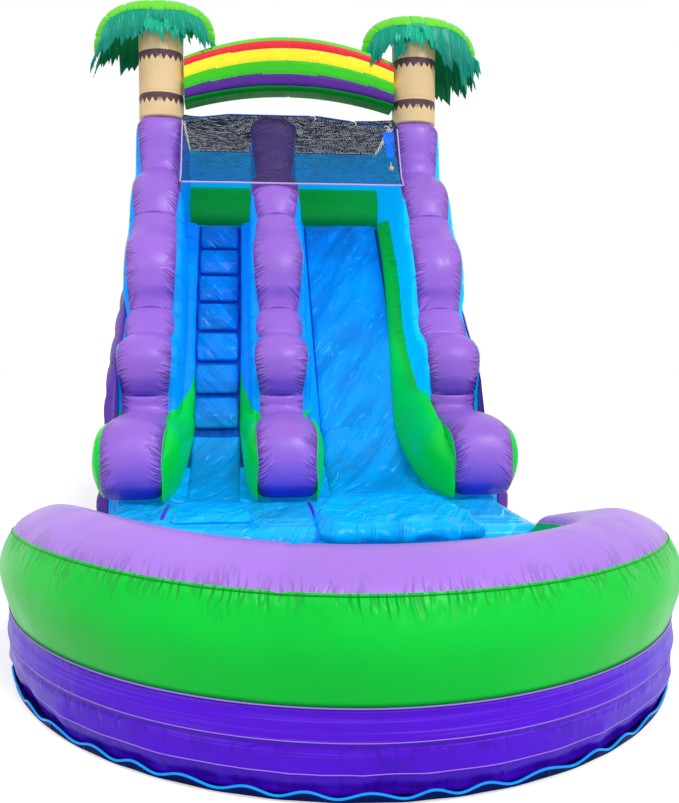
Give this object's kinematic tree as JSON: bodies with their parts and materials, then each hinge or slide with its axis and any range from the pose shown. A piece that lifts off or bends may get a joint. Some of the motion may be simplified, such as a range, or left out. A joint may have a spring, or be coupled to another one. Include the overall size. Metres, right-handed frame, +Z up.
{
  "type": "inflatable water slide",
  "caption": "Backyard inflatable water slide: stepped climbing lane beside a sliding lane, splash pool, palm-tree tops, rainbow arch, safety nets and rear blower.",
  "frame": {"origin": "on the ground, midway between the outer walls, in line with the faces of the bumpers", "axes": "+X to the right seen from the pool, +Y from the pool up the slide to its rear, +Z up"},
  "size_m": [3.57, 8.427, 4.5791],
  "materials": {
    "purple_vinyl": "semi-gloss coated vinyl",
    "blue_vinyl": "gloss coated vinyl",
    "green_vinyl": "semi-gloss coated vinyl",
    "tan_vinyl": "satin coated vinyl",
    "teal_vinyl": "gloss coated vinyl",
    "rainbow_vinyl": "semi-gloss coated vinyl in coloured bands",
    "black_net": "open knotless mesh",
    "blower_plastic": "moulded, satin",
    "black_plastic": "matte",
    "steel": "zinc plated"
  },
  "bodies": {
    "slide": {"left_side_body": "purple_vinyl", "right_side_body": "purple_vinyl", "rear_body": "purple_vinyl", "left_wall_cap": "purple_vinyl", "centre_wall_cap": "purple_vinyl", "right_wall_cap": "purple_vinyl", "pool_lower_tube": "purple_vinyl", "inflation_sleeve": "purple_vinyl", "landing_bed": "blue_vinyl", "slope_deck": "blue_vinyl", "platform_deck": "blue_vinyl", "left_wall": "blue_vinyl", "centre_wall": "blue_vinyl", "right_wall": "blue_vinyl", "back_rail_upper": "blue_vinyl", "slide_cover": "blue_vinyl", "climb_cover": "blue_vinyl", "ground_sheet": "blue_vinyl", "climb_step_1": "blue_vinyl", "climb_step_2": "blue_vinyl", "climb_step_3": "blue_vinyl", "climb_step_4": "blue_vinyl", "climb_step_5": "blue_vinyl", "climb_step_6": "blue_vinyl", "climb_step_7": "blue_vinyl", "back_rail_lower": "green_vinyl", "left_wall_foot": "green_vinyl", "centre_wall_left_foot": "green_vinyl", "centre_wall_right_foot": "green_vinyl", "right_wall_foot": "green_vinyl", "pool_upper_tube": "green_vinyl", "left_palm_trunk": "tan_vinyl", "right_palm_trunk": "tan_vinyl", "left_palm_frond_outer": "teal_vinyl", "left_palm_frond_arch": "teal_vinyl", "left_palm_frond_front": "teal_vinyl", "right_palm_frond_outer": "teal_vinyl", "right_palm_frond_arch": "teal_vinyl", "right_palm_frond_front": "teal_vinyl", "rainbow_arch": "rainbow_vinyl", "front_net": "black_net", "roof_net": "black_net", "blower_housing": "blower_plastic", "blower_motor": "black_plastic", "vent_zip_tape": "black_plastic", "anchor_patch_left_front": "black_plastic", "anchor_patch_left_rear": "black_plastic", "anchor_patch_right_front": "black_plastic", "anchor_patch_right_rear": "black_plastic", "hose_socket": "black_plastic"},
    "fan": {"blower_fan": "steel"},
    "switch": {"blower_switch": "black_plastic"},
    "zip_pull": {"vent_zip_pull": "steel"},
    "flap": {"vent_flap": "purple_vinyl"},
    "ring_left_front": {"anchor_ring_left_front": "steel"},
    "ring_left_rear": {"anchor_ring_left_rear": "steel"},
    "ring_right_front": {"anchor_ring_right_front": "steel"},
    "ring_right_rear": {"anchor_ring_right_rear": "steel"},
    "tie": {"hanging_tie": "blue_vinyl", "tie_ball": "tan_vinyl"}
  },
  "joints": [
    {"name": "fan_spin", "type": "hinge", "parent": "slide", "child": "fan", "pos_m": [-0.62, 4.76, 0.31], "axis": [1, 0, 0], "continuous": true},
    {"name": "switch_tilt", "type": "hinge", "parent": "slide", "child": "switch", "pos_m": [-0.4897, 4.76, 0.44], "axis": [0, 1, 0], "range_deg": [-8, 8]},
    {"name": "zip_pull_slide", "type": "slide", "parent": "slide", "child": "zip_pull", "axis": [1, 0, 0], "range_m": [0, 0.51]},
    {"name": "flap_lift", "type": "hinge", "parent": "slide", "child": "flap", "pos_m": [0.55, 4.2003, 0.73], "axis": [1, 0, 0], "range_deg": [0, 85]},
    {"name": "ring_left_front_swing", "type": "hinge", "parent": "slide", "child": "ring_left_front", "pos_m": [-1.47266, 1.1, 0.21833], "axis": [0, 1, 0], "range_deg": [0, 160]},
    {"name": "ring_left_rear_swing", "type": "hinge", "parent": "slide", "child": "ring_left_rear", "pos_m": [-1.47266, 3.75, 0.21833], "axis": [0, 1, 0], "range_deg": [0, 160]},
    {"name": "ring_right_front_swing", "type": "hinge", "parent": "slide", "child": "ring_right_front", "pos_m": [1.47266, 1.1, 0.21833], "axis": [0, -1, 0], "range_deg": [0, 160]},
    {"name": "ring_right_rear_swing", "type": "hinge", "parent": "slide", "child": "ring_right_rear", "pos_m": [1.47266, 3.75, 0.21833], "axis": [0, -1, 0], "range_deg": [0, 160]},
    {"name": "tie_swing", "type": "hinge", "parent": "slide", "child": "tie", "pos_m": [0.88, 2.46787, 3.39829], "axis": [-1, 0, 0], "range_deg": [0, 60]}
  ]
}
